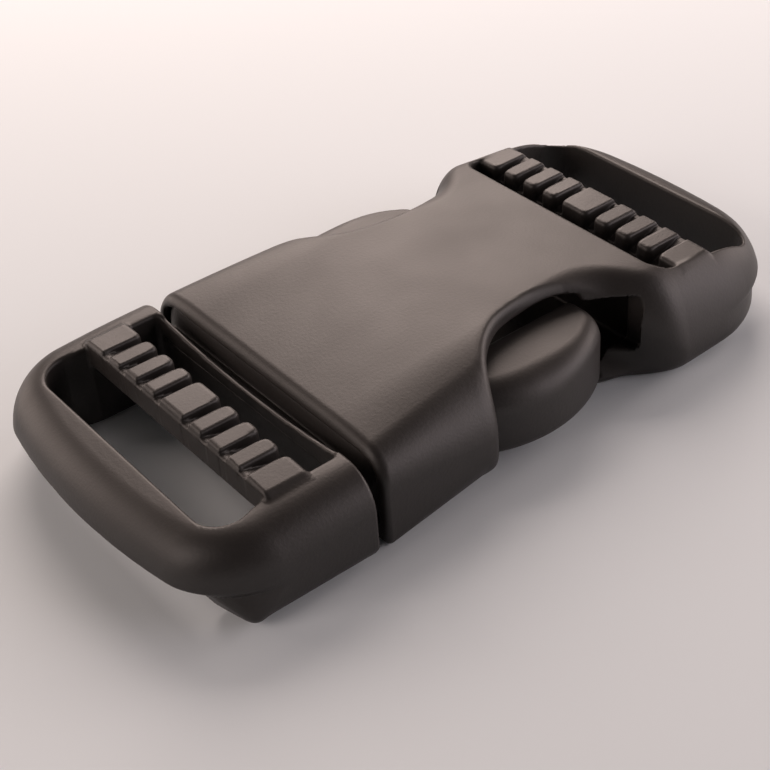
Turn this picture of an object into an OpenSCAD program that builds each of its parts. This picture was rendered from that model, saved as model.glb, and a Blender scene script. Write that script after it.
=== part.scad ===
// Side release buckle for flat webbing, shown fastened.
// X runs along the buckle from the prong insert (-X) to the socket (+X), Y across it and Z up.
// The origin lies under the middle of the buckle, on the surface that it rests on.

/* [Webbing slots] */
// Clear width between the side rails, a little more than the webbing
slot_w = 26.2; // [22:0.1:32]
// Length of the slot between the insert's end bar and its toothed bar
insert_outer_slot = 5.0; // [4.2:0.1:7]
// Length of the slot between the insert's toothed bar and its flange
insert_inner_slot = 2.7; // [1.5:0.1:4]
// Length of the slot between the socket's end bar and its toothed bar
socket_outer_slot = 5.4; // [4.2:0.1:7]
// Length of the slot between the socket's toothed bar and its shell
socket_inner_slot = 2.4; // [1.5:0.1:4]
// Radius of the corners of an outer slot
slot_corner_r = 2.6; // [0.5:0.1:3]
// How much wider the insert's outer slot is on each side at its end bar
slot_flare = 0.5; // [0:0.1:0.8]

/* [Toothed bars] */
// Length of a toothed bar along the buckle
bar_l = 3.9; // [3:0.1:6]
// Height of the tooth tops above the lowest point
tooth_top = 9.3; // [8:0.1:10]
// Thickness of a toothed bar at its outer face
bar_t = 3.0; // [2:0.1:4]
// Width of the middle tooth
mid_tooth_w = 3.2; // [2:0.1:5]
// Width of each narrow tooth
tooth_w = 1.65; // [1:0.05:2.4]
// Width of the groove between two teeth
groove_w = 1.07; // [0.6:0.01:1.6]
// Narrow teeth on each side of the middle one
side_teeth = 3; // [1:1:4]
// Depth of a groove at its outer end
groove_shallow = 0.55; // [0.2:0.05:1.5]
// Depth of a groove at its inner end
groove_deep = 1.7; // [0.8:0.05:2.2]
// Length of the flat ledge at a groove's outer end
groove_ledge = 0.5; // [0.2:0.05:1]
// How much lower the bar's underside is at its inner face
bar_drop = 1.2; // [0:0.1:2]
// How far a bar reaches into each rail
bar_overlap = 0.8; // [0.3:0.1:1.5]
// Radius of the teeth's crown across the buckle
crown_r = 240; // [120:10:500]

/* [Outline] */
// Width of the insert at its widest
insert_w = 34.8; // [32:0.1:40]
// Width of the socket at its mouth
mouth_w = 33.2; // [32:0.1:40]
// Width of the socket at its webbing end
tail_w = 33.0; // [31:0.1:38]
// Radius of the bowed end bars, seen from above
end_bow_r = 64; // [50:1:120]
// Radius of the insert's end corners, seen from above
insert_corner_r = 7.4; // [5:0.1:10]
// Radius of the socket's end corners, seen from above
socket_corner_r = 8.4; // [5:0.1:10]
// Radius of the insert's upper long edges
top_edge_r = 3.5; // [1:0.1:3.8]
// Radius of the shell's upper long edges
shell_edge_r = 3.9; // [1:0.1:4.4]
// Radius of the upper long edges beside the socket's webbing slots
tail_edge_r = 4.8; // [1:0.1:5.4]
// Radius of the lower long edges
bottom_edge_r = 2.0; // [0.5:0.1:2.4]

/* [Heights] */
// Thickness of the socket at its highest point
socket_h = 10.5; // [9.5:0.1:12]
// Radius of the socket's arched top, seen from the side
arch_r = 140; // [100:5:300]
// Distance of the highest point from the mouth
arch_from_mouth = 19.1; // [10:0.1:24]
// Height of the insert's top
insert_h = 8.6; // [7.8:0.1:9.2]
// Radius of the insert's arched top, seen from the side
insert_arch_r = 120; // [100:5:300]
// Height of the insert's underside
insert_lift = 0.0; // [0:0.1:0.8]
// Radius of the sweep that lifts the socket's underside towards its end
tail_sweep_r = 80; // [60:5:200]
// Distance from the mouth to where that sweep starts
tail_sweep_from_mouth = 28.7; // [20:0.1:34]

/* [End bars] */
// Width of the insert's end bar along the buckle
insert_end_bar = 4.7; // [3.5:0.1:6]
// Width of the socket's end bar along the buckle
socket_end_bar = 4.4; // [3:0.1:6]
// Radius of an end bar's rounded section
end_bar_r = 3.9; // [3:0.1:5]
// Height of an end bar's widest point
end_bar_z = 4.5; // [3.8:0.1:5]
// Height of an end bar's underside
end_bar_lift = 3.5; // [1.5:0.1:3.8]
// How far the end bar's lower edge lies back from its widest point
under_back = 0.7; // [0.4:0.1:1.6]
// Distance from the end to the foot of a side rail
foot_back = 3.4; // [2.4:0.1:5]
// Length of the slope down to that foot
foot_slope = 1.6; // [0.8:0.1:2]

/* [Socket shell] */
// Length of the shell from its mouth to the inner slot
shell_l = 33.4; // [30:0.1:42]
// Wall around the mouth
wall_t = 1.1; // [0.8:0.05:1.6]
// Wall at the closed end of the shell
tail_wall_t = 2.4; // [1.5:0.1:4]
// Height of the pocket at the closed end of the shell
pocket_h = 5.0; // [4:0.1:6]
// Length of that pocket
pocket_l = 3.0; // [2:0.1:5]
// Radius of each side opening, seen from above
waist_r = 9.8; // [8:0.1:12]
// Half width of the narrow waist between the side openings
waist_half_w = 8.9; // [7.5:0.1:11]
// How much wider the side openings are at the shell's top
waist_flare = 1.2; // [0.4:0.1:2]
// Height over which they widen
waist_flare_h = 2.8; // [1:0.1:4]
// How far the widening lies towards the socket's end
waist_flare_shift = 1.9; // [0:0.1:2.4]
// Distance from the mouth to the middle of the side openings
waist_from_mouth = 21.8; // [20:0.1:24]
// Radius of the frame's front corners at the side openings
waist_corner_r = 5.0; // [1:0.1:6]
// Gap between the mouth and the insert's flange
mouth_gap = 1.3; // [0.6:0.1:2.5]
// Clearance between the prongs and the shell
fit_gap = 0.35; // [0.2:0.05:0.6]

/* [Prong insert] */
// Thickness of the flange behind the inner slot
flange_t = 0.9; // [0.7:0.1:1.6]
// Height of the flange
flange_h = 8.3; // [7.5:0.05:8.5]
// Length of the plug between the flange and the mouth's inside
plug_l = 5.0; // [3:0.1:8]
// Width of each flexing prong arm
arm_w = 3.0; // [2:0.1:4]
// Distance of the arms' outer faces from the middle, at the plug
arm_out = 11.6; // [9:0.1:13]
// How far the arms spread on their way to the buttons
arm_spread = 1.2; // [0:0.1:2]
// Height of the prong arms
arm_h = 5.0; // [4:0.1:5.6]
// Height of the side buttons
button_h = 6.2; // [5:0.1:6.4]
// Distance of the buttons' outer faces from the middle
button_out = 16.4; // [15:0.1:17]
// Length of a button along the buckle
button_l = 14.2; // [11:0.1:15]
// Radius of a button's outer face, seen from above
button_bow_r = 12; // [9:0.5:20]
// Radius of a button's upper edge
button_edge_r = 2.8; // [1:0.1:3]
// Radius of a button's rear corner
button_corner_r = 2.6; // [1:0.1:3.5]
// Width of the guide tongue between the arms
tongue_w = 4.6; // [3:0.1:7]
// Thickness of the guide tongue
tongue_t = 2.6; // [1.6:0.1:4]
// Length of the guide tongue from the plug
tongue_l = 21.0; // [12:0.1:24]

/* [Hidden] */
$fn = 96;
big = 80;
eps = 0.01;
// How far the tail's sweep dips below the flat underside, so that the two really cross
sweep_bite = 0.03;

// Stations along X, from the insert's end to the socket's end
total_l = insert_end_bar + insert_outer_slot + bar_l + insert_inner_slot + flange_t + mouth_gap
    + shell_l + socket_inner_slot + bar_l + socket_outer_slot + socket_end_bar;
x_start = -total_l / 2;
x_insert_slot = x_start + insert_end_bar;
x_insert_bar = x_insert_slot + insert_outer_slot;
x_insert_inner = x_insert_bar + bar_l;
x_flange = x_insert_inner + insert_inner_slot;
x_flange_back = x_flange + flange_t;
x_mouth = x_flange_back + mouth_gap;
x_shell_end = x_mouth + shell_l;
x_socket_bar = x_shell_end + socket_inner_slot;
x_socket_slot = x_socket_bar + bar_l;
x_socket_end_bar = x_socket_slot + socket_outer_slot;
x_end = total_l / 2;

// The side openings and the arched top
x_waist = x_mouth + waist_from_mouth;
waist_y = waist_half_w + waist_r;
x_arch = x_mouth + arch_from_mouth;
mouth_top = arch_z(socket_h, arch_r, arch_from_mouth);
x_wall_end = x_waist - sqrt(pow(waist_r, 2) - pow(waist_y - mouth_w / 2, 2));

// The hollow inside the shell, and the lower pocket at its closed end
cavity_low = wall_t + 0.2;
cavity_top = mouth_top - wall_t;
cavity_half_w = mouth_w / 2 - wall_t;
x_cavity_end = x_shell_end - tail_wall_t;
x_pocket = x_cavity_end - pocket_l;
prong_z = (cavity_low + cavity_top) / 2;
x_arm = x_mouth + plug_l - 0.5;

// Height of an arch that is top high at its crest and has radius r, at a distance from the crest
function arch_z(top, r, distance) = top - r + sqrt(pow(r, 2) - pow(distance, 2));

// What a round edge takes off the square corner at x, z; up is 1 for an upper edge
module edge_cut(x, z, r, up) {
    difference() {
        translate([x - r, up > 0 ? z - r : z - eps])
            square([r + eps, r + eps]);
        translate([x - r, z - up * r])
            circle(r);
    }
}

// A wide wheel on its side; its rim is the arched top, with both long upper edges round
module arch_wheel(w, r, edge_r) {
    rotate([-90, 0, 0])
        rotate_extrude($fn = 1440)
            difference() {
                translate([0, -w / 2])
                    square([r, w]);
                edge_cut(r, w / 2, edge_r, 1);
                edge_cut(r, -w / 2, edge_r, -1);
            }
}

// Section of a slab w wide, with both lower edges round and no top
module base_section(w) {
    r = bottom_edge_r;
    translate([-w / 2, r])
        square([w, big]);
    translate([r - w / 2, 0])
        square([w - 2 * r, r + eps]);
    for (s = [-1, 1])
        translate([s * (w / 2 - r), r])
            circle(r);
}

// Everything below an arch of radius r that runs along X, top high at x
module under_arch(x, top, r) {
    translate([x, 0, top - r])
        rotate([90, 0, 0])
            cylinder(r = r, h = big, center = true, $fn = 1440);
}

// A slab from x0 to x1 under an arch of radius r that is top high at x
module arched_slab(x0, x1, w, low, x, top, r, edge_r) {
    intersection() {
        translate([x0, 0, low])
            rotate([90, 0, 90])
                linear_extrude(x1 - x0)
                    base_section(w);
        translate([x, 0, top - r])
            arch_wheel(w, r, edge_r);
    }
}

// A wide disc whose rim is the rounded section of an end bar, with the slanting foot below it
module end_disc(low) {
    rotate_extrude($fn = 360) {
        translate([0, low])
            square([end_bow_r - foot_back, big]);
        translate([0, end_bar_z])
            square([end_bow_r - end_bar_r, big]);
        intersection() {
            translate([end_bow_r - end_bar_r, end_bar_z])
                circle(end_bar_r);
            translate([end_bow_r - end_bar_r - eps, end_bar_z - eps])
                square(end_bar_r + 1);
        }
        polygon([
            [end_bow_r - foot_back - eps, low],
            [end_bow_r - foot_back + foot_slope, end_bar_lift],
            [end_bow_r - under_back, end_bar_lift],
            [end_bow_r, end_bar_z],
            [end_bow_r - foot_back - eps, end_bar_z + eps]
        ]);
    }
}

// Where the corner arc of radius r has its centre in a frame w wide, back from the outer end
function corner_x(w, r) = end_bow_r - sqrt(pow(end_bow_r - r, 2) - pow(w / 2 - r, 2));

// Plan of what lies outside the two corner arcs of a frame
module corner_plan(w, r) {
    cy = w / 2 - r;
    cx = corner_x(w, r);
    out = (end_bow_r + 1) / (end_bow_r - r);
    for (s = [-1, 1])
        polygon([
            [cx, s * cy],
            [end_bow_r - (end_bow_r - cx) * out, s * cy * out],
            [-1, s * (w / 2 + 1)],
            [cx, s * (w / 2 + 1)]
        ]);
}

// A disc with round edges; its rim is one corner of a frame
module corner_disc(r, top, low, edge_r) {
    rotate_extrude()
        difference() {
            translate([0, low])
                square([r, top - low]);
            edge_cut(r, top, edge_r, 1);
            edge_cut(r, low, bottom_edge_r, -1);
        }
}

// Gives the slab below it bowed, rounded end and corners; outer end at 0, running towards +X
module frame_end(w, r, low, edge_r, arch_x, arch_top, arch_radius) {
    top = arch_z(arch_top, arch_radius, arch_x - corner_x(w, r));
    intersection() {
        union() {
            difference() {
                children();
                translate([0, 0, -1])
                    linear_extrude(big)
                        corner_plan(w, r);
            }
            intersection() {
                for (s = [-1, 1])
                    translate([corner_x(w, r), s * (w / 2 - r), 0])
                        corner_disc(r, top, low, edge_r);
                under_arch(arch_x, arch_top, arch_radius);
            }
        }
        translate([end_bow_r, 0, 0])
            end_disc(low);
    }
}

// Plan of both slots in one: round corners at the end bar, square ones at the shell or flange
module slot_plan(outer_slot, inner_slot, flare) {
    r = slot_corner_r;
    half = slot_w / 2 + flare;
    translate([outer_slot - eps, -slot_w / 2])
        square([bar_l + inner_slot + eps, slot_w]);
    polygon([
        [r, -half],
        [outer_slot, -slot_w / 2],
        [outer_slot, slot_w / 2],
        [r, half]
    ]);
    translate([0, r - half])
        square([r + eps, 2 * (half - r)]);
    for (s = [-1, 1])
        translate([r, s * (half - r)])
            circle(r);
}

// Cuts the two slots and the room under the end bar; outer end at 0, running towards +X
module slots(end_bar, outer_slot, inner_slot, flare) {
    translate([end_bar, 0, -eps])
        linear_extrude(big)
            slot_plan(outer_slot, inner_slot, flare);
    translate([-eps, -slot_w / 2, -eps])
        cube([end_bar + slot_corner_r, slot_w, end_bar_lift]);
}

// Section of a toothed bar, outer face at 0 and inner face at bar_l
module bar_section() {
    polygon([
        [0, tooth_top - bar_t],
        [bar_l, tooth_top - bar_t - bar_drop],
        [bar_l, tooth_top],
        [0, tooth_top]
    ]);
}

// Section of a groove, shallow at the outer face and deep at the inner one
module groove_section() {
    polygon([
        [groove_ledge, tooth_top - groove_shallow],
        [bar_l + eps, tooth_top - groove_deep],
        [bar_l + eps, tooth_top + 1],
        [-eps, tooth_top + 1],
        [-eps, tooth_top - groove_shallow]
    ]);
}

module along_y(w) {
    rotate([90, 0, 0])
        linear_extrude(w, center = true)
            children();
}

// The toothed bar, outer face at 0, with its grooves and its crown across the buckle
module toothed_bar() {
    pitch = tooth_w + groove_w;
    first = (mid_tooth_w + groove_w) / 2;
    intersection() {
        difference() {
            along_y(slot_w + 2 * bar_overlap)
                bar_section();
            for (s = [-1, 1], k = [0 : side_teeth])
                translate([0, s * (first + k * pitch), 0])
                    along_y(groove_w)
                        groove_section();
        }
        translate([-1, 0, tooth_top - crown_r])
            rotate([0, 90, 0])
                cylinder(r = crown_r, h = bar_l + 2, $fn = 720);
    }
}

// The insert's frame: rails, end bar and flange
module insert_frame() {
    back = x_flange_back - x_start;
    difference() {
        translate([x_start, 0, 0])
            frame_end(insert_w, insert_corner_r, insert_lift, top_edge_r, back, insert_h, insert_arch_r)
                arched_slab(0, back, insert_w, insert_lift, back, insert_h, insert_arch_r, top_edge_r);
        translate([x_start, 0, 0])
            slots(insert_end_bar, insert_outer_slot, insert_inner_slot, slot_flare);
        translate([x_flange - 0.5, -slot_w / 2, flange_h])
            cube([flange_t + 1, slot_w, socket_h]);
    }
}

// The block behind the flange that fills the mouth
module plug() {
    w = 2 * (cavity_half_w - fit_gap);
    h = cavity_top - cavity_low - 2 * fit_gap;
    translate([x_flange_back - flange_t / 2, -w / 2, prong_z - h / 2])
        cube([flange_t / 2 + mouth_gap + plug_l, w, h]);
}

// One flexing arm, from the plug out to its button
module prong_arm() {
    reach = x_wall_end + 3 - x_arm;
    translate([x_arm, 0, prong_z - arm_h / 2])
        linear_extrude(arm_h)
            polygon([
                [0, arm_out - arm_w],
                [reach, arm_out - arm_w + arm_spread],
                [reach, arm_out + arm_spread],
                [0, arm_out]
            ]);
}

// Plan of a button: bowed outside, with a round rear corner that runs into the bow
module button_plan(x0, bow_x, bow_y) {
    r = button_corner_r;
    cx = x0 + button_l - r;
    cy = bow_y + sqrt(pow(button_bow_r - r, 2) - pow(cx - bow_x, 2));
    out = button_bow_r / (button_bow_r - r);
    low = cy - r;
    intersection() {
        translate([bow_x, bow_y])
            circle(button_bow_r);
        union() {
            translate([x0, low])
                square([bow_x - x0, button_out]);
            polygon([
                [bow_x - eps, low],
                [cx, low],
                [cx, cy],
                [bow_x + (cx - bow_x) * out, bow_y + (cy - bow_y) * out],
                [bow_x - eps, button_out + 1]
            ]);
            translate([cx, cy])
                circle(r);
            translate([cx - eps, low])
                square([r + eps, r]);
        }
    }
}

// One side button, bulging out through the socket's side opening
module side_button() {
    low = prong_z - button_h / 2;
    top = prong_z + button_h / 2;
    x0 = x_wall_end + fit_gap;
    bow_x = x0 + button_l * 0.4;
    bow_y = button_out - button_bow_r;
    intersection() {
        translate([bow_x, bow_y, 0])
            rotate_extrude()
                difference() {
                    translate([0, low])
                        square([button_bow_r, button_h]);
                    edge_cut(button_bow_r, top, button_edge_r, 1);
                    edge_cut(button_bow_r, low, button_edge_r / 2, -1);
                }
        translate([0, 0, low - 1])
            linear_extrude(button_h + 2)
                button_plan(x0, bow_x, bow_y);
    }
}

// The flat tongue that keeps the insert straight in the socket
module guide_tongue() {
    translate([x_arm, -tongue_w / 2, prong_z - tongue_t / 2])
        cube([tongue_l - tongue_w / 2, tongue_w, tongue_t]);
    translate([x_arm + tongue_l - tongue_w / 2, 0, prong_z - tongue_t / 2])
        cylinder(d = tongue_w, h = tongue_t);
}

module prong_insert() {
    color("#3b3533") {
        insert_frame();
        translate([x_insert_bar, 0, 0])
            toothed_bar();
        plug();
        guide_tongue();
        for (s = [0, 1])
            mirror([0, s, 0]) {
                prong_arm();
                side_button();
            }
    }
}

// Outer form of the socket, closed and solid
module shell_block() {
    difference() {
        intersection() {
            union() {
                arched_slab(x_mouth, x_waist + eps, mouth_w, 0, x_arch, socket_h, arch_r, shell_edge_r);
                translate([x_end, 0, 0])
                    mirror([1, 0, 0])
                        frame_end(tail_w, socket_corner_r, 0, tail_edge_r, x_end - x_arch, socket_h, arch_r)
                            arched_slab(0, x_end - x_waist, tail_w, 0, x_end - x_arch, socket_h, arch_r, tail_edge_r);
            }
            over_sweep();
        }
        for (s = [0, 1])
            mirror([0, s, 0]) {
                translate([x_waist, waist_y, -1])
                    cylinder(r = waist_r, h = socket_h + 2);
                translate([x_waist + waist_flare_shift, waist_y, socket_h - waist_flare_h])
                    cylinder(r1 = waist_r, r2 = waist_r + waist_flare, h = waist_flare_h + eps);
                waist_corner();
            }
    }
}

// What the round front corner of the socket's frame takes off beside a side opening
module waist_corner() {
    side = tail_w / 2;
    cy = side - waist_corner_r;
    reach = waist_r + waist_corner_r;
    cx = x_waist + sqrt(pow(reach, 2) - pow(waist_y - cy, 2));
    t = waist_r / reach;
    translate([0, 0, -1])
        linear_extrude(socket_h + 2)
            difference() {
                polygon([
                    [x_waist + (cx - x_waist) * t, waist_y - (waist_y - cy) * t],
                    [cx, cy],
                    [cx, side + 1],
                    [x_waist, side + 1]
                ]);
                translate([cx, cy])
                    circle(waist_corner_r);
            }
}

// Everything above the socket's underside, flat at first and then sweeping up to the end
module over_sweep() {
    x = x_mouth + tail_sweep_from_mouth;
    translate([x_mouth - 1, -big / 2, 0])
        cube([x - x_mouth + 1, big, big]);
    translate([x, 0, tail_sweep_r - sweep_bite])
        rotate([90, 0, 0])
            cylinder(r = tail_sweep_r, h = big, center = true, $fn = 720);
}

// The hollow that takes the prongs
module shell_hollow() {
    translate([x_mouth - 1, -cavity_half_w, cavity_low])
        cube([x_pocket - x_mouth + 1, 2 * cavity_half_w, cavity_top - cavity_low]);
    translate([x_pocket - 1, -cavity_half_w, prong_z - pocket_h / 2])
        cube([pocket_l + 1, 2 * cavity_half_w, pocket_h]);
}

module socket() {
    color("#453e3b") {
        difference() {
            shell_block();
            shell_hollow();
            translate([x_end, 0, 0])
                mirror([1, 0, 0])
                    slots(socket_end_bar, socket_outer_slot, socket_inner_slot, 0);
        }
        translate([x_socket_slot, 0, 0])
            mirror([1, 0, 0])
                toothed_bar();
    }
}

prong_insert();
socket();
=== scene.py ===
import math

import bpy
import numpy as np
from mathutils import Matrix, Vector


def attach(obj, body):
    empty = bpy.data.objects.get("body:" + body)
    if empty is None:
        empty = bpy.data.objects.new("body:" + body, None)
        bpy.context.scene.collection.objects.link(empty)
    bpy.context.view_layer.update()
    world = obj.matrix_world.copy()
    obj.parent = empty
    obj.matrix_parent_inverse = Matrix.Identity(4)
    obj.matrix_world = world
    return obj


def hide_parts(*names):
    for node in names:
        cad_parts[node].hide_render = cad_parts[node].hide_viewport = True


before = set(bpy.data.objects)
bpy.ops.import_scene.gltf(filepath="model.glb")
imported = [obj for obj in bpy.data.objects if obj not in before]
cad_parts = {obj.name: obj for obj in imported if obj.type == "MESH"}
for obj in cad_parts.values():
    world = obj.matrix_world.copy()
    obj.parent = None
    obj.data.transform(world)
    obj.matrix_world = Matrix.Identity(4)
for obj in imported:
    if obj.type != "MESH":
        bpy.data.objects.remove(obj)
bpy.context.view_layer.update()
mm = 0.001


def linearColour(hexCode):
    # sRGB hex to linear: v / 12.92 below 0.04045, otherwise ((v + 0.055) / 1.055) to the power 2.4
    values = np.array([int(hexCode[i:i + 2], 16) / 255 for i in (1, 3, 5)])
    low, high = values / 12.92, ((values + 0.055) / 1.055) ** 2.4
    return (*np.where(values <= 0.04045, low, high).tolist(), 1.0)


def addNode(tree, kind, settings=None, links=None):
    # one node with its settings, by name or number of input; links is {input: (node, output)}
    node = tree.nodes.new(kind)
    for key, value in (settings or {}).items():
        if isinstance(key, int) or key in node.inputs:
            node.inputs[key].default_value = value
        else:
            setattr(node, key, value)
    for key, (source, output) in (links or {}).items():
        tree.links.new(source.outputs[output], node.inputs[key])
    return node


def pointAt(thing, target, roll=0.0):
    # turns a lamp or camera so that it looks along the line to target, then rolls it about that line
    back = (thing.location - Vector(target)).normalized()
    right = Vector((0, 0, 1)).cross(back).normalized()
    up = back.cross(right)
    turned = math.cos(roll) * right + math.sin(roll) * up
    over = math.cos(roll) * up - math.sin(roll) * right
    thing.rotation_mode = "QUATERNION"
    thing.rotation_quaternion = Matrix((turned, over, back)).transposed().to_quaternion()


# Camera, at the photograph's viewing angle
camera = {
    "azimuth": -35.562,      # degrees, from straight in front towards the insert's side
    "elevation": 37.158,
    "roll": -4.570,
    "distance": 145.09,      # mm, from the target
    "target": (-2.664, 0.204, 0.279),
    "focalPixels": 1615.78,  # for an image 770 pixels wide
    "imageSize": 770,
    "sensor": 36.0,
    "nearest": 0.005,        # metres, and the next one too
    "farthest": 20,
}


def addCamera(s):
    # stands at its distance from the target, along the line that azimuth and elevation give
    data = bpy.data.cameras.new("camera")
    data.sensor_width = s["sensor"]
    data.lens = s["focalPixels"] / s["imageSize"] * s["sensor"]
    data.clip_start, data.clip_end = s["nearest"], s["farthest"]
    thing = bpy.data.objects.new("camera", data)
    bpy.context.scene.collection.objects.link(thing)
    az, el = math.radians(s["azimuth"]), math.radians(s["elevation"])
    back = Vector((math.sin(az) * math.cos(el), -math.cos(az) * math.cos(el), math.sin(el)))
    target = Vector(s["target"]) * mm
    thing.location = target + back * s["distance"] * mm
    pointAt(thing, target, math.radians(s["roll"]))
    bpy.context.scene.camera = thing


addCamera(camera)
print("camera placed")


# Distance fields: each gives, for whole arrays of points in mm, how far a point lies outside a form, negative inside.
# x runs along the buckle from the insert to the socket, a is the distance from the middle plane and z the height. In
# the settings, a name that ends in At holds the places between which a size changes, and an edge is a radius.
def both(a, b, r):
    # where both forms are: the larger distance, with the edge between them rounded to radius r
    return np.minimum(-r, np.maximum(a, b)) + np.hypot(np.maximum(r + a, 0), np.maximum(r + b, 0))


def either(a, b, r):
    # where either form is: the smaller distance, with the corner between them filled to radius r
    return np.maximum(r, np.minimum(a, b)) - np.hypot(np.maximum(r - a, 0), np.maximum(r - b, 0))


def without(a, b, r):
    # the first form with the second one cut out of it, the new edges rounded to radius r
    return both(a, -b, r)


def ease(v, v0, v1, a, b):
    # runs from a to b while v runs from v0 to v1, level at both ends: t squared times (3 - 2t)
    t = np.clip((v - v0) / (v1 - v0), 0, 1)
    return a + (b - a) * t * t * (3 - 2 * t)


# What the frames of the insert and the socket have in common
frames = {
    "slot": 26.2, "barLength": 3.9, "crisp": 0.35, "cornerAt": (0.5, 5),
    "underBack": 0.9, "footSlope": 1.6, "footRound": 0.6, "footEdge": 0.6, "wedgeFrom": 0.8, "wedgeMost": 3,
    "flareEnd": 5.0, "flareLength": 2.4,
    "teethEdge": 0.4, "barFillet": 0.3,
}


def archedTop(x, z, crest, height, radius):
    # a wide wheel lying across the buckle, whose rim is the top
    return np.hypot(x - crest, z - (height - radius)) - radius


def frameOutline(u, a, z, s, width):
    # plan of a frame, u running in from its bowed end. The bow is a circle that draws back by the square of how far z
    # lies below the end bar's widest level
    below = np.clip((s["endZ"] - z) / (s["endZ"] - s["endLift"]), 0, 1)
    bow = np.hypot(u - s["bow"], a) - s["bow"] + s["underBack"] * below ** 2
    corner = ease(z, *s["cornerAt"], s["footCorner"], s["corner"])
    return both(a - width / 2, bow, corner)


def foot(u, a, z, s):
    # the room under the end: above the slanted foot of the rails, and all of it between the rails
    bow = np.hypot(u - s["bow"], a) - s["bow"]
    rise = s["endLift"] - s["lift"]
    slant = ((-bow - s["footBack"]) * rise + (z - s["lift"]) * s["footSlope"]) / np.hypot(rise, s["footSlope"])
    between = np.maximum(a - s["slot"] / 2, u - s["endBar"] - s["slotCorner"])
    under = s["endLift"] - s["endWedge"] * np.clip(-bow - s["wedgeFrom"], 0, s["wedgeMost"])
    return both(z - under, np.minimum(slant, between), s["footRound"])


def slotRoom(u, a, s, u1):
    # plan of the two slots in one, up to u1: a rectangle that widens towards the end bar, with a radius at each end
    half = s["slot"] / 2 + s["slotFlare"] * np.clip((s["endBar"] + s["flareEnd"] - u) / s["flareLength"], 0, 1)
    return both(both(a - half, s["endBar"] - u, s["slotCorner"]), u - u1, s["innerCorner"])


teeth = {
    # a broad middle tooth, and three narrow ones and the rail's own block on each side of it
    "top": 9.3, "crown": 240.0, "middle": 3.3, "width": 1.75, "groove": 0.97, "side": 3,
    # the bar under them, its thickness, the drop of its underside and the depth of its grooves
    "thick": 3.0, "drop": 1.2, "shareAt": (-0.2, 1.2), "shallow": 0.55, "deep": 1.7, "ledge": 0.5,
    "slant": 0.95,           # cosine of its sloping faces, so that distances from them stay true
    "reach": 1.1,            # how far the bar runs into a rail
    # the teeth's sides, their outer faces, their inner ends and their tops
    "draft": 0.04, "setBack": 0.28, "setBackFrom": 8.65, "setBackRise": 0.65,
    "past": 0.2, "endRound": 0.6, "crownBefore": 1.2, "crownEdge": (0.2, 0.45), "rooted": 0.4,
    "sharp": 0.01, "edge": 0.12, "floorEdge": 0.2, "underEdge": 0.3,
}


def toothedBar(v, a, z, s, t):
    # v runs from the bar's outer face to its inner one. A wedge-shaped bar, grooved on top: its floor is flat at the
    # outer ledge and then falls inwards; the teeth stand on it, their inner ends round
    length = s["barLength"]
    under = t["top"] - t["thick"] - t["drop"] * np.clip(v / length, *t["shareAt"])
    fall = (t["deep"] - t["shallow"]) / (length - t["ledge"])
    floor = t["top"] - t["shallow"] - fall * np.maximum(v - t["ledge"], 0)
    ends = both(-v, v - length, t["sharp"])
    base = both(both(ends, t["slant"] * (z - floor), t["floorEdge"]), t["slant"] * (under - z), t["underEdge"])
    pitch = t["width"] + t["groove"]
    first = (t["middle"] + t["groove"]) / 2
    across = a - t["middle"] / 2
    for k in range(t["side"]):
        across = np.minimum(across, np.abs(a - first - (k + 0.5) * pitch) - t["width"] / 2)
    across = np.minimum(across, first + t["side"] * pitch + t["groove"] / 2 - a)
    across = across - t["draft"] * (t["top"] - z)
    face = t["setBack"] * np.clip((z - t["setBackFrom"]) / t["setBackRise"], 0, 1)
    plan = both(both(across, v - length - t["past"], t["endRound"]), face - v, t["edge"])
    crown = np.hypot(a, z - (t["top"] - t["crown"])) - t["crown"]
    tooth = both(plan, crown, ease(v, length - t["crownBefore"], length + t["past"], *t["crownEdge"]))
    tooth = np.maximum(tooth, t["slant"] * (under + t["rooted"] - z))
    bar = either(base, tooth, t["edge"])
    return np.maximum(bar, a - s["slot"] / 2 - t["reach"])


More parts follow.
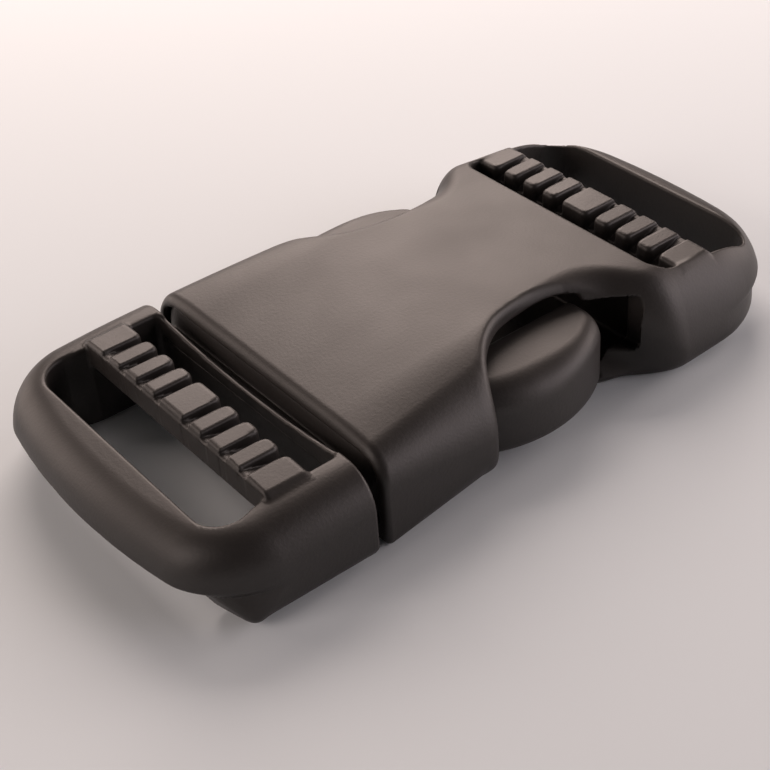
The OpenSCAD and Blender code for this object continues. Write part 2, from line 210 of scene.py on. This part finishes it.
# The insert, in mm
insert = {
    **frames,
    # its parts along the buckle, and the frame's plan and top
    "start": -34.0, "slotStart": -29.3, "bar": -24.3, "flange": -17.25, "back": -16.8, "mouth": -15.5,
    "width": 34.78, "bow": 65.0, "corner": 5.9, "footCorner": 2.8, "height": 8.6, "arch": 120.0, "lift": 0.3,
    # edges of the rails, the corners and the end bar
    "railEdge": 3.5, "cornerEdge": 3.4, "cornerEdgeAt": (7, 13), "endEdge": 3.2, "endEdgeAt": (-24, -30),
    "lowEdge": 1.6, "lowEndEdge": 0.8, "lowEdgeAt": (-27, -30),
    # the raised end bar, its feet and the slots
    "endZ": 4.3, "endLift": 3.5, "endWedge": 0.0, "footBack": 3.1,
    "slotCorner": 2.6, "innerCorner": 0.6, "slotFlare": 0.5, "teethIn": (1.3, -0.1), "teethInAt": (12.6, 14.2),
    # the flange, dipped in the middle
    "flangeTop": 8.3, "flangeDip": 0.95, "flangeSide": 0.9, "flangeEdge": 0.2, "flangeCut": 1, "sharp": 0.01,
    # the plug, thinner by the neck in the gap between flange and mouth
    "plug": 5.0, "plugHalf": 15.15, "plugZ": 3.09, "prongZ": 4.74, "plugCorner": 1.6, "plugEnd": 0.4,
    "plugRoot": 0.5, "plugFillet": 0.1, "neck": 1.6, "neckAt": (-0.1, 0.6), "neckSide": 0.4,
    # the arms and the guide tongue
    "armOut": 11.6, "armWidth": 3.0, "armSpread": 1.2, "armHeight": 5.0, "armRoot": 0.5, "armReach": 3,
    "tongueWidth": 4.6, "tongueThick": 2.6, "tongueLength": 21.0, "tongueEnd": 1.2, "innerEdge": 0.5,
    # the buttons
    "button": -2.97, "buttonLength": 14.2, "buttonOut": 16.28, "buttonBow": 12.9, "buttonCrest": 0.4,
    "buttonIn": 9.1, "buttonTop": 7.9, "buttonLow": 1.15, "buttonFloor": 1.6, "buttonFloorAt": (10.5, 14.5),
    "buttonEdge": 2.6, "buttonRearEdge": 1.6, "buttonEdgeAt": (2, 9), "buttonCorner": 1.0,
    "buttonFrontEdge": 0.3, "buttonInEdge": 0.8, "buttonLowEdge": 1.2, "buttonFillet": 0.4,
}
insert["endBar"] = insert["slotStart"] - insert["start"]


def insertField(x, y, z):
    # the frame is what a bowed plan and an arched top share, less its feet's room and its slots. The toothed bar, the
    # plug, the arms, the tongue and the buttons, each what a few slabs and circles share, are joined to it.
    s = insert
    a = np.abs(y)
    u = x - s["start"]
    atEnd = ease(x, *s["endEdgeAt"], 0, 1)
    toEnd, toCorner = s["endEdge"] - s["railEdge"], s["cornerEdge"] - s["railEdge"]
    edge = s["railEdge"] + atEnd * ease(a, *s["cornerEdgeAt"], toEnd, toCorner)
    outer = both(frameOutline(u, a, z, s, s["width"]), archedTop(x, z, s["back"], s["height"], s["arch"]), edge)
    form = both(outer, s["lift"] - z, ease(x, *s["lowEdgeAt"], s["lowEdge"], s["lowEndEdge"]))
    form = without(form, foot(u, a, z, s), s["footEdge"])
    form = both(form, x - s["back"], s["crisp"])
    form = without(form, slotRoom(u, a, s, s["flange"] - s["start"]), s["crisp"])
    # the flange's top dips by a parabola across the slot
    top = s["flangeTop"] - s["flangeDip"] * (1 - (a / (s["slot"] / 2)) ** 2)
    over = both(a - s["slot"] / 2, top - z, s["flangeSide"])
    over = both(over, s["flange"] - s["flangeCut"] - x, s["sharp"])
    form = without(form, over, s["flangeEdge"])
    bar = toothedBar(x - s["bar"], a, z, s, teeth)
    form = either(form, both(bar, outer - ease(a, *s["teethInAt"], *s["teethIn"]), s["teethEdge"]), s["barFillet"])
    h = np.abs(z - s["prongZ"])
    neck = ease(x, s["mouth"] + s["neckAt"][0], s["mouth"] + s["neckAt"][1], s["neck"], 0)
    plug = both(a - s["plugHalf"] + s["neckSide"] * neck, h - s["plugZ"] + neck, s["plugCorner"])
    plug = both(plug, x - s["mouth"] - s["plug"], s["plugEnd"])
    form = either(form, np.maximum(plug, s["back"] - s["plugRoot"] - x), s["plugFillet"])
    # an arm spreads outwards evenly from x0 to x1
    x0, x1 = s["mouth"] + s["plug"] - s["armRoot"], s["button"] + s["armReach"]
    middle = s["armOut"] - s["armWidth"] / 2 + s["armSpread"] * (x - x0) / (x1 - x0)
    arm = both(np.abs(a - middle) - s["armWidth"] / 2, h - s["armHeight"] / 2, s["innerEdge"])
    form = either(form, np.maximum(np.maximum(arm, x0 - x), x - x1), s["innerEdge"])
    tongue = both(a - s["tongueWidth"] / 2, h - s["tongueThick"] / 2, s["innerEdge"])
    tongue = both(tongue, x - x0 - s["tongueLength"], s["tongueEnd"])
    form = either(form, np.maximum(tongue, x0 - x), s["innerEdge"])
    # a button: its plan is a circle outside and cut off straight in front, behind and inside; its top is flat, with an
    # edge that gets smaller towards the rear
    bowX = s["button"] + s["buttonCrest"] * s["buttonLength"]
    bow = np.hypot(x - bowX, a - (s["buttonOut"] - s["buttonBow"])) - s["buttonBow"]
    button = both(bow, z - s["buttonTop"], ease(x, *s["buttonEdgeAt"], s["buttonEdge"], s["buttonRearEdge"]))
    button = both(button, x - s["button"] - s["buttonLength"], s["buttonCorner"])
    button = both(button, s["button"] - x, s["buttonFrontEdge"])
    button = both(button, s["buttonIn"] - a, s["buttonInEdge"])
    floor = ease(a, *s["buttonFloorAt"], s["buttonFloor"], s["buttonLow"])
    button = both(button, floor - z, s["buttonLowEdge"])
    return either(form, button, s["buttonFillet"])


# The socket, in mm
socket = {
    **frames,
    # its parts along the buckle, and its plan and top
    "mouth": -15.5, "shellEnd": 17.9, "bar": 20.3, "slotEnd": 30.3, "end": 34.0,
    "mouthWidth": 33.2, "tailWidth": 33.0, "widthAt": (-10, 20), "bow": 62.7, "corner": 7.5, "footCorner": 7.0,
    "height": 10.48, "arch": 140.0, "crest": 3.6, "lift": 0.0,
    # at stations along the buckle: the top's edge, and how far the top falls off at the sides
    "topEdgeAt": (-15, -3, 12, 19, 27, 31), "topEdge": (2.7, 4.0, 4.2, 4.2, 4.2, 4.2),
    "fall": (0.65, 2.0, 2.1, 3.5, 2.9, 1.3), "fallFrom": 9.5, "fallPower": (2, 4), "fallPowerAt": (13, 19),
    # the end bar's edge, then the underside: its edge at stations, and the arc that it sweeps up along
    "endEdge": 2.8, "endEdgeAt": (25, 31), "cornerEdgeAt": (13, 7),
    "lowEdgeAt": (-15.5, -5, 9, 24, 30), "lowEdge": (0.5, 3.1, 1.8, 1.3, 0.9), "sweep": 108.0, "sweepFrom": 14.0,
    # the raised end bar, its feet and the slots
    "endZ": 4.65, "endLift": 3.55, "endWedge": 0.5, "footBack": 3.6,
    "slotCorner": 2.3, "innerCorner": 2.0, "slotFlare": 0.0, "teethIn": (0.8, -0.1), "teethInAt": (12.4, 13.9),
    # a side opening, its lip, the rounded frame corner behind it, and its edge at stations
    "waist": 6.1, "waistRadius": 9.8, "waistHalf": 9.0, "waistCorner": 4.4, "cornerOut": 3, "cornerOutAt": (6, 14.5),
    "lip": 3.0, "lipSlope": 2.2, "lipForward": 1.2, "lipOut": 3.0, "lipEdge": 0.8,
    "openEdgeAt": (-6.2, 3.8, 6.8, 9.8, 13), "openEdge": (0.5, 0.6, 1.0, 1.2, 0.6),
    # the mouth's edge below and above
    "mouthEdge": (0.5, 0.95), "mouthEdgeAt": (5.5, 8),
    # the hollow: its ceiling steps up twice, and a wall is left under the outer skin
    "cavityHalf": 15.5, "cavityLow": 1.1, "cavityEnd": 11.4, "cavityTop": 8.12, "waistTop": 8.85,
    "waistTopAt": (-8, 4), "rearRise": 0.4, "rearRiseAt": (3, 9), "wall": (1.0, 0.4), "wallAt": (5, 9),
    "cavityCorner": 1.4, "ceilingCorner": 0.8, "cavityEdge": 0.5,
    # the pocket behind the buttons, and the deeper hole in it
    "pocketTop": 8.1, "pocketHalf": 14.0, "pocketEnd": 15.4, "pocketCorner": 0.7, "pocketEdge": 0.25,
    "deepTop": 0.3, "deepLow": 0.2, "deepHalf": 11.9, "deepEnd": 16.9, "deepCorner": 0.5, "deepEdge": 0.2,
    "endCorner": 0.3,
}
socket["endBar"] = socket["end"] - socket["slotEnd"]


def socketField(x, y, z):
    # shell and frame are what a bowed plan and an arched top share, less the side openings, the slots, the hollow and
    # the pocket, and the toothed bar is joined to them
    s = socket
    a = np.abs(y)
    u = s["end"] - x
    plan = frameOutline(u, a, z, s, ease(x, *s["widthAt"], s["mouthWidth"], s["tailWidth"]))
    # the top falls off towards the sides by a power of the distance from where that starts: flatter on the rails
    fall = np.interp(x, s["topEdgeAt"], s["fall"])
    aside = np.maximum(a - s["fallFrom"], 0) / (s["tailWidth"] / 2 - s["fallFrom"])
    top = archedTop(x, z, s["crest"], s["height"], s["arch"])
    top = top + fall * aside ** ease(x, *s["fallPowerAt"], *s["fallPower"])
    # a side opening, round above; below the lip its rear wall leans out towards the bottom
    opening = np.hypot(x - s["waist"], a - s["waistHalf"] - s["waistRadius"]) - s["waistRadius"]
    lean = np.clip((s["lip"] - z) / s["lipSlope"], 0, 1)
    back = np.maximum(x - s["waist"] - lean * s["lipForward"], 0)
    lower = np.hypot(back, a - s["waistHalf"] - s["waistRadius"] - lean * s["lipOut"])
    opening = both(opening, lower - s["waistRadius"], s["lipEdge"])
    # the frame's front corner beside it is widely rounded, which fades out towards the waist
    plan = without(plan, opening + ease(x, *s["cornerOutAt"], s["cornerOut"], 0), s["waistCorner"])
    edge = np.interp(x, s["topEdgeAt"], s["topEdge"])
    edge = edge + (s["endEdge"] - edge) * ease(x, *s["endEdgeAt"], 0, 1) * ease(a, *s["cornerEdgeAt"], 0, 1)
    outer = both(plan, top, edge)
    # the underside is flat and then follows a circle upwards
    sweep = np.where(x > s["sweepFrom"], s["sweep"] - np.hypot(x - s["sweepFrom"], z - s["sweep"]), z)
    form = both(outer, -sweep, np.interp(x, s["lowEdgeAt"], s["lowEdge"]))
    form = without(form, foot(u, a, z, s), s["footEdge"])
    form = without(form, opening, np.interp(x, s["openEdgeAt"], s["openEdge"]))
    form = both(form, s["mouth"] - x, ease(z, *s["mouthEdgeAt"], *s["mouthEdge"]))
    form = without(form, slotRoom(u, a, s, s["end"] - s["shellEnd"]), s["crisp"])
    bar = toothedBar(s["bar"] + s["barLength"] - x, a, z, s, teeth)
    form = either(form, both(bar, outer - ease(a, *s["teethInAt"], *s["teethIn"]), s["teethEdge"]), s["barFillet"])
    ceiling = ease(x, *s["waistTopAt"], s["cavityTop"], s["waistTop"]) + ease(x, *s["rearRiseAt"], 0, s["rearRise"])
    room = both(a - s["cavityHalf"], s["cavityLow"] - z, s["cavityCorner"])
    room = np.maximum(both(room, z - ceiling, s["ceilingCorner"]), x - s["cavityEnd"])
    room = both(room, outer + ease(x, *s["wallAt"], *s["wall"]), s["ceilingCorner"])
    form = without(form, room, s["cavityEdge"])
    middle, half = (s["lip"] + s["pocketTop"]) / 2, (s["pocketTop"] - s["lip"]) / 2
    pocket = both(np.abs(z - middle) - half, a - s["pocketHalf"], s["pocketCorner"])
    form = without(form, both(pocket, x - s["pocketEnd"], s["endCorner"]), s["pocketEdge"])
    hole = np.maximum(z - s["pocketTop"] + s["deepTop"], s["cavityLow"] + s["deepLow"] - z)
    hole = both(hole, a - s["deepHalf"], s["deepCorner"])
    return without(form, both(hole, x - s["deepEnd"], s["endCorner"]), s["deepEdge"])


# The net that is drawn over a field
net = {
    "cell": 0.26,            # mm
    "slopeStep": 0.02,       # mm to either side of a point, over which the field's slope is measured
    "slides": 3,             # how often each point slides onto the surface
    "leastSlope": 0.2,       # square of the slope that a slide is divided by, at least
    "longestSlide": 0.45,    # of a cell
    "tiny": 1e-9,
}


def surfaceOf(field, low, high, s):
    # Surface of a distance field: on a grid, each cell that the surface crosses gets one point, the mean of its edges'
    # crossings; each grid edge that it crosses gets the quad between its four cells; then every point slides along the
    # field's slope onto the surface. Only +Y is computed, and the grid is mirrored.
    cell = s["cell"]
    count = np.ceil((np.array(high) - low) / cell).astype(int) + 1
    half = int(count[1] // 2)
    ax = [low[0] + cell * np.arange(count[0]), cell * np.arange(half + 1), low[2] + cell * np.arange(count[2])]
    right = field(ax[0][:, None, None], ax[1][None, :, None], ax[2][None, None, :])
    value = np.concatenate([right[:, :0:-1], right], 1)
    ax[1] = np.concatenate([-ax[1][:0:-1], ax[1]])
    inside = value < 0
    shape = np.array(value.shape) - 1

    def cornerOf(array, c):
        # the values at corner c of all cells
        return array[c[0]:c[0] + shape[0], c[1]:c[1] + shape[1], c[2]:c[2] + shape[2]]

    # the sum of each cell's crossings and their number, over the twelve edges of a cell
    total, crossings = np.zeros((*shape, 3)), np.zeros(shape)
    for c in [(i, j, k) for i in (0, 1) for j in (0, 1) for k in (0, 1)]:
        for axis in [n for n in range(3) if not c[n]]:
            d = tuple(v + (n == axis) for n, v in enumerate(c))
            v0, v1 = cornerOf(value, c), cornerOf(value, d)
            met = cornerOf(inside, c) != cornerOf(inside, d)
            share = np.where(met, v0 / np.where(met, v0 - v1, 1), 0)
            crossings += met
            for n in range(3):
                total[..., n] += np.where(met, c[n] + (share if n == axis else 0), 0)
    used = crossings > 0
    number = np.full(shape, -1)
    number[used] = np.arange(used.sum())
    origin = np.stack(np.meshgrid(ax[0][:-1], ax[1][:-1], ax[2][:-1], indexing="ij"), -1)
    points = origin[used] + total[used] / crossings[used][:, None] * cell

    # one quad round each crossed edge along an axis, turned so that it faces outwards
    quads = []
    for axis in range(3):
        p, q = [n for n in range(3) if n != axis]
        first = [slice(1, -1)] * 3
        first[axis] = slice(0, -1)
        second = list(first)
        second[axis] = slice(1, None)
        a, b = inside[tuple(first)], inside[tuple(second)]
        where = np.argwhere(a != b)
        where[:, [p, q]] += 1
        leaving = a[a != b]
        ring = []
        for dp, dq in ((1, 1), (0, 1), (0, 0), (1, 0)):
            cellAt = where.copy()
            cellAt[:, p] -= dp
            cellAt[:, q] -= dq
            ring.append(number[tuple(cellAt.T)])
        quad = np.stack(ring, 1)
        kept = leaving if axis != 1 else ~leaving
        quad[~kept] = quad[~kept][:, ::-1]
        quads.append(quad)
    quads = np.concatenate(quads)

    step = s["slopeStep"]
    for _ in range(s["slides"]):
        here = field(*points.T)
        slope = np.stack([field(*(points + step * unit).T) - field(*(points - step * unit).T) for unit in np.eye(3)], 1)
        slope /= 2 * step
        move = slope * (here / np.maximum((slope ** 2).sum(1), s["leastSlope"]))[:, None]
        size = np.linalg.norm(move, axis=1, keepdims=True)
        points = points - move * np.minimum(1, s["longestSlide"] * cell / np.maximum(size, s["tiny"]))
    return points, quads, slope / np.maximum(np.linalg.norm(slope, axis=1, keepdims=True), s["tiny"])


# Satin black acetal (POM), injection moulded in a spark-eroded steel mould: dark grey and even, with a soft broad
# highlight that the fine grain of the mould breaks up into tiny specks
acetal = {
    "colour": "#242120",
    "colourWorn": "#2c2927",   # a little paler where the grain's peaks catch dust
    "roughness": 0.47,
    "smoother": 0.05,          # how far the roughness goes down and up with the slow unevenness
    "rougher": 0.07,
    "ior": 1.48,
    "grainSize": 0.28,         # mm; the real grain is about 0.08 mm and drawn coarser so that it shows
    "grainDepth": 0.016,       # mm
    "grainDetail": 3.0,
    "grainFade": 0.55,
    "waveSize": 7.0,           # mm, slow unevenness of the moulded skin
    "waveDepth": 0.02,         # mm
    "waveDetail": 2.0,
    "waveFade": 0.5,
    "shift": (1.0, 2.3, 0.7),  # how a piece's seed moves its grain along each axis
}


def acetalMaterial(name, s, seed):
    # fine noise gives tint and grain, slow noise gives roughness and unevenness, both in real millimetres
    material = bpy.data.materials.new(name)
    material.use_nodes = True
    tree = material.node_tree
    tree.nodes.clear()
    place = addNode(tree, "ShaderNodeTexCoord")
    shift = addNode(tree, "ShaderNodeMapping", {"Location": [seed * share for share in s["shift"]]},
                    {"Vector": (place, "Object")})
    grain = addNode(tree, "ShaderNodeTexNoise",
                    {"Scale": 1 / (s["grainSize"] * mm), "Detail": s["grainDetail"], "Roughness": s["grainFade"]},
                    {"Vector": (shift, "Vector")})
    wave = addNode(tree, "ShaderNodeTexNoise",
                   {"Scale": 1 / (s["waveSize"] * mm), "Detail": s["waveDetail"], "Roughness": s["waveFade"]},
                   {"Vector": (shift, "Vector")})
    # a colour Mix has its factor at 0 and its two colours at 6 and 7, and gives the colour at 2
    tint = addNode(tree, "ShaderNodeMix",
                   {"data_type": "RGBA", 6: linearColour(s["colour"]), 7: linearColour(s["colourWorn"])},
                   {0: (grain, "Fac")})
    rough = addNode(tree, "ShaderNodeMapRange",
                    {"To Min": s["roughness"] - s["smoother"], "To Max": s["roughness"] + s["rougher"]},
                    {"Value": (wave, "Fac")})
    slow = addNode(tree, "ShaderNodeBump", {"Strength": 1.0, "Distance": s["waveDepth"] * mm},
                   {"Height": (wave, "Fac")})
    fine = addNode(tree, "ShaderNodeBump", {"Strength": 1.0, "Distance": s["grainDepth"] * mm},
                   {"Height": (grain, "Fac"), "Normal": (slow, "Normal")})
    shader = addNode(tree, "ShaderNodeBsdfPrincipled", {"IOR": s["ior"]},
                     {"Base Color": (tint, 2), "Roughness": (rough, "Result"), "Normal": (fine, "Normal")})
    addNode(tree, "ShaderNodeOutputMaterial", {}, {"Surface": (shader, "BSDF")})
    return material


# Each moulding is one surface that takes its CAD node's place
mouldings = {
    # piece: node, slot, field, lowest and highest corner of its grid in mm, seed of its grain
    "insertMoulding": ("prong_insert", "insert_acetal", insertField, (-34.7, -18, -0.5), (12.5, 18, 10.0), 0.013),
    "socketMoulding": ("socket", "socket_acetal", socketField, (-16.15, -17.5, -0.6), (34.7, 17.5, 11.2), 0.041),
}


def addMoulding(name, node, slotName, field, low, high, seed):
    # the field's surface as one mesh of four-sided faces
    points, quads, slope = surfaceOf(field, low, high, net)
    mesh = bpy.data.meshes.new(name)
    mesh.vertices.add(len(points))
    mesh.vertices.foreach_set("co", (points * mm).ravel())
    mesh.loops.add(quads.size)
    mesh.loops.foreach_set("vertex_index", quads.ravel())
    mesh.polygons.add(len(quads))
    mesh.polygons.foreach_set("loop_start", np.arange(0, quads.size, quads.shape[1]))
    mesh.polygons.foreach_set("use_smooth", np.ones(len(quads), bool))
    mesh.update(calc_edges=True)
    mesh.validate()
    mesh.normals_split_custom_set_from_vertices(slope)   # the field's own slope is the truest normal
    mesh.materials.append(acetalMaterial("satin black acetal of the " + node.replace("_", " "), acetal, seed))
    piece = bpy.data.objects.new(name, mesh)
    bpy.context.scene.collection.objects.link(piece)
    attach(piece, "root")
    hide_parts(node)
    print(name, "made of", len(quads), "faces")


for name, facts in mouldings.items():
    addMoulding(name, *facts)


# Studio: a plain pale floor and soft lights, the broad low ones behind the buckle
studio = {
    "floorColour": "#dfe7ec",
    "floorRoughness": 0.8,
    "floorSize": 3.0,        # metres
    "world": "#ffffff",
    "worldStrength": 0.02,
    "lights": (
        # name, compass in degrees from +X, height in degrees, distance in mm, size in mm, watts, colour
        ("window", 57, 34, 300, 210, 0.88, "#ffeae0"),
        ("sheet", 118, 14, 300, 200, 0.42, "#ffe9de"),
        ("side", 172, 26, 300, 150, 0.30, "#ffece4"),
        ("fill", 312, 15, 300, 190, 0.42, "#ffeff0"),
        ("rear", 350, 18, 300, 160, 0.34, "#ffece6"),
    ),
}


def addStudio(s):
    # the floor is one square, and each light a square lamp that faces the middle of the buckle
    size = s["floorSize"] / 2
    mesh = bpy.data.meshes.new("floor")
    mesh.from_pydata([(-size, -size, 0), (size, -size, 0), (size, size, 0), (-size, size, 0)], [], [(0, 1, 2, 3)])
    floor = bpy.data.objects.new("floor", mesh)
    bpy.context.scene.collection.objects.link(floor)
    material = bpy.data.materials.new("matte pale paper")
    material.use_nodes = True
    shader = material.node_tree.nodes["Principled BSDF"]
    shader.inputs["Base Color"].default_value = linearColour(s["floorColour"])
    shader.inputs["Roughness"].default_value = s["floorRoughness"]
    mesh.materials.append(material)
    world = bpy.data.worlds.new("studio")
    world.use_nodes = True
    background = world.node_tree.nodes["Background"]
    background.inputs["Color"].default_value = linearColour(s["world"])
    background.inputs["Strength"].default_value = s["worldStrength"]
    bpy.context.scene.world = world
    for name, compass, height, distance, side, power, colour in s["lights"]:
        data = bpy.data.lights.new(name, "AREA")
        data.size, data.energy = side * mm, power
        data.color = linearColour(colour)[:3]
        lamp = bpy.data.objects.new(name, data)
        bpy.context.scene.collection.objects.link(lamp)
        turn, rise = math.radians(compass), math.radians(height)
        away = Vector((math.cos(turn) * math.cos(rise), math.sin(turn) * math.cos(rise), math.sin(rise)))
        lamp.location = away * distance * mm
        pointAt(lamp, (0, 0, 0))


addStudio(studio)
bpy.context.scene.view_settings.view_transform = "Standard"
print("studio ready")
